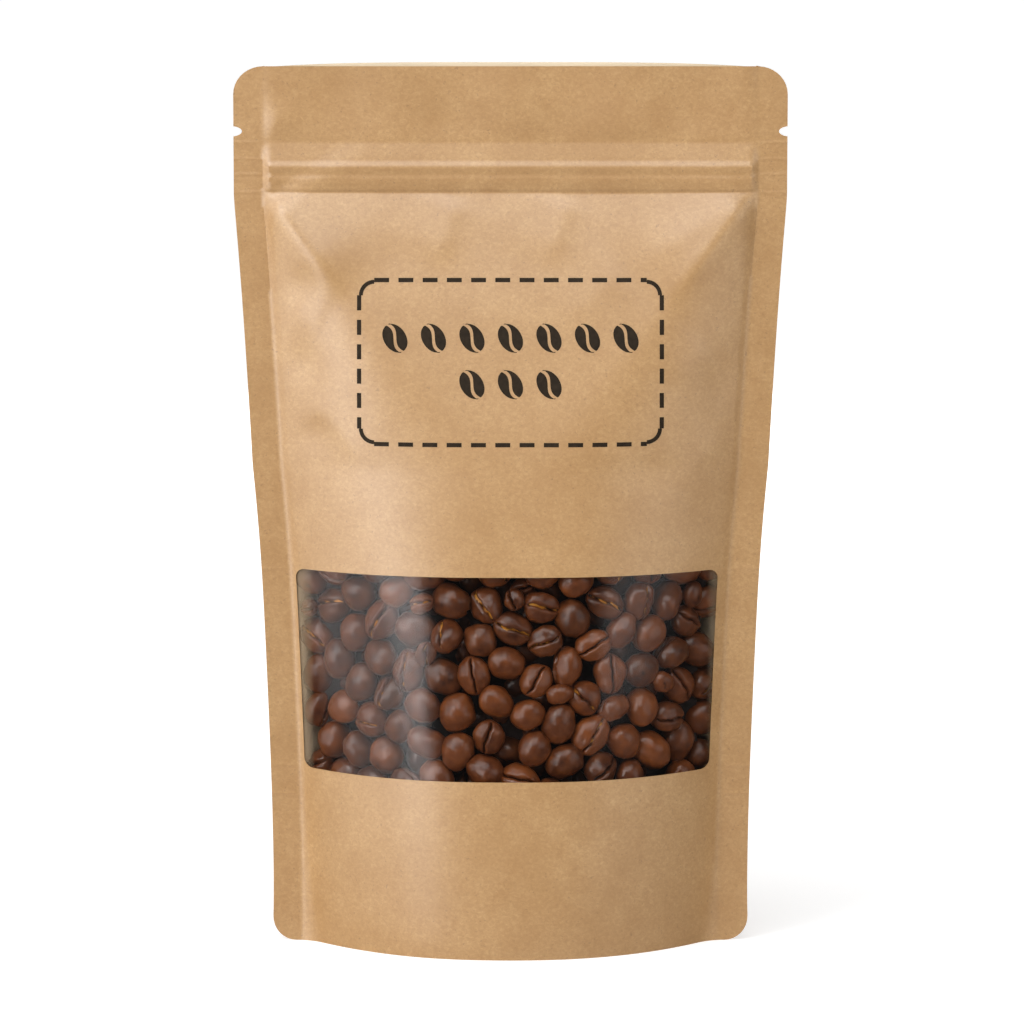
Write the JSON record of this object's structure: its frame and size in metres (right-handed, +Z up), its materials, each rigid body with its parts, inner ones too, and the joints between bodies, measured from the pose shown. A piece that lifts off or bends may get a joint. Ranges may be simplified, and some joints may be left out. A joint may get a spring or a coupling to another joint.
{
  "type": "stand-up pouch of coffee beans",
  "caption": "Standing kraft-paper pouch with a flat header, tear notches, a press zip, side seals, a clear window with roasted coffee beans behind it, and a bottom gusset.",
  "frame": {"origin": "middle of the base, on the ground", "axes": "+Z up, +X to the right as seen from the front, the window faces -Y"},
  "size_m": [0.13, 0.05, 0.209],
  "materials": {
    "kraft_paper": "matte",
    "clear_film": "glossy",
    "roasted_coffee": "satin"
  },
  "bodies": {
    "root": {"pouch": "kraft_paper", "window": "clear_film", "beans": "roasted_coffee"}
  },
  "joints": []
}
